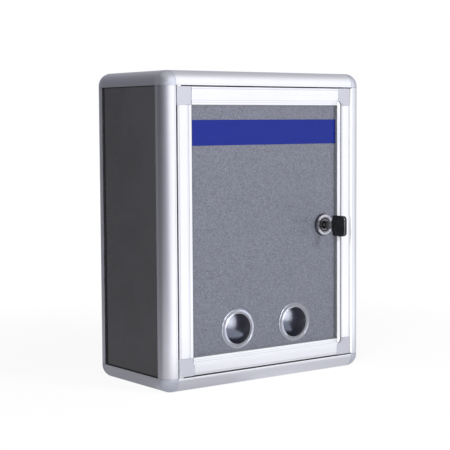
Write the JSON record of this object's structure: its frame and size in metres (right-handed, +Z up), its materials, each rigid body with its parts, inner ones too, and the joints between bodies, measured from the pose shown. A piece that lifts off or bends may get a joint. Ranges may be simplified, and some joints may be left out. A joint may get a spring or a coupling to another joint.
{
  "type": "ballot box",
  "caption": "Lockable wall-mounted box with rounded aluminium frame, posting slot on top, hinged framed door with clear round windows, bare band and keyed cam lock.",
  "frame": {"origin": "under the middle of the whole object's bounding box, on the surface that it stands on", "axes": "+X to the right seen from the front, front door faces -Y, +Z up"},
  "size_m": [0.243, 0.1532, 0.3],
  "materials": {
    "anodised_aluminium": "satin anodised",
    "corner_casting": "satin silver paint",
    "corner_plastic": "smooth moulded",
    "case_board": "glossy dark sheet",
    "door_board": "grey brushed-look sheet",
    "seal_rubber": "soft black",
    "band_film": "blue film",
    "clear_plastic": "clear moulded",
    "ring_plastic": "moulded",
    "washer_plastic": "moulded",
    "chrome": "bright plated",
    "plug_metal": "dark plated",
    "steel": "zinc plated",
    "key_metal": "nickel plated",
    "key_plastic": "moulded black"
  },
  "bodies": {
    "case": {"front_post_left": "anodised_aluminium", "front_post_right": "anodised_aluminium", "back_post_left": "anodised_aluminium", "back_post_right": "anodised_aluminium", "top_front_rail": "anodised_aluminium", "top_back_rail": "anodised_aluminium", "top_left_rail": "anodised_aluminium", "top_right_rail": "anodised_aluminium", "bottom_front_rail": "anodised_aluminium", "bottom_back_rail": "anodised_aluminium", "bottom_left_rail": "anodised_aluminium", "bottom_right_rail": "anodised_aluminium", "corner_top_front_left": "corner_casting", "corner_top_front_right": "corner_casting", "corner_top_back_left": "corner_casting", "corner_top_back_right": "corner_casting", "corner_bottom_front_left": "corner_casting", "corner_bottom_front_right": "corner_casting", "corner_bottom_back_left": "corner_casting", "corner_bottom_back_right": "corner_casting", "left_side_panel": "case_board", "right_side_panel": "case_board", "top_panel": "case_board", "bottom_panel": "case_board", "back_panel": "case_board", "left_panel_seal": "seal_rubber", "right_panel_seal": "seal_rubber", "top_panel_seal": "seal_rubber", "bottom_panel_seal": "seal_rubber", "back_panel_seal": "seal_rubber", "hinge_pins": "steel", "pivot_washers": "washer_plastic"},
    "door": {"hinge_stile": "anodised_aluminium", "lock_stile": "anodised_aluminium", "door_top_rail": "anodised_aluminium", "door_bottom_rail": "anodised_aluminium", "door_corner_top_left": "corner_plastic", "door_corner_top_right": "corner_plastic", "door_corner_bottom_left": "corner_plastic", "door_corner_bottom_right": "corner_plastic", "door_panel": "door_board", "door_seal": "seal_rubber", "header_band": "band_film", "pull_strip": "anodised_aluminium", "window_lens_left": "clear_plastic", "window_lens_right": "clear_plastic", "window_ring_left": "ring_plastic", "window_ring_right": "ring_plastic", "lock_housing": "chrome", "lock_nut": "steel"},
    "lock": {"lock_plug": "plug_metal", "lock_cam": "steel", "cam_screw": "steel"},
    "key": {"key_blade": "key_metal", "key_bow": "key_plastic"}
  },
  "joints": [
    {"name": "door_hinge", "type": "hinge", "parent": "case", "child": "door", "pos_m": [-0.1028, -0.0419, 0.15], "axis": [0, 0, -1], "range_deg": [0, 105]},
    {"name": "lock_turn", "type": "hinge", "parent": "door", "child": "lock", "pos_m": [0.0718, -0.0429, 0.1489], "axis": [0, -1, 0], "range_deg": [0, 90]},
    {"name": "key_slide", "type": "slide", "parent": "lock", "child": "key", "axis": [0, -1, 0], "range_m": [0, 0.014]}
  ]
}
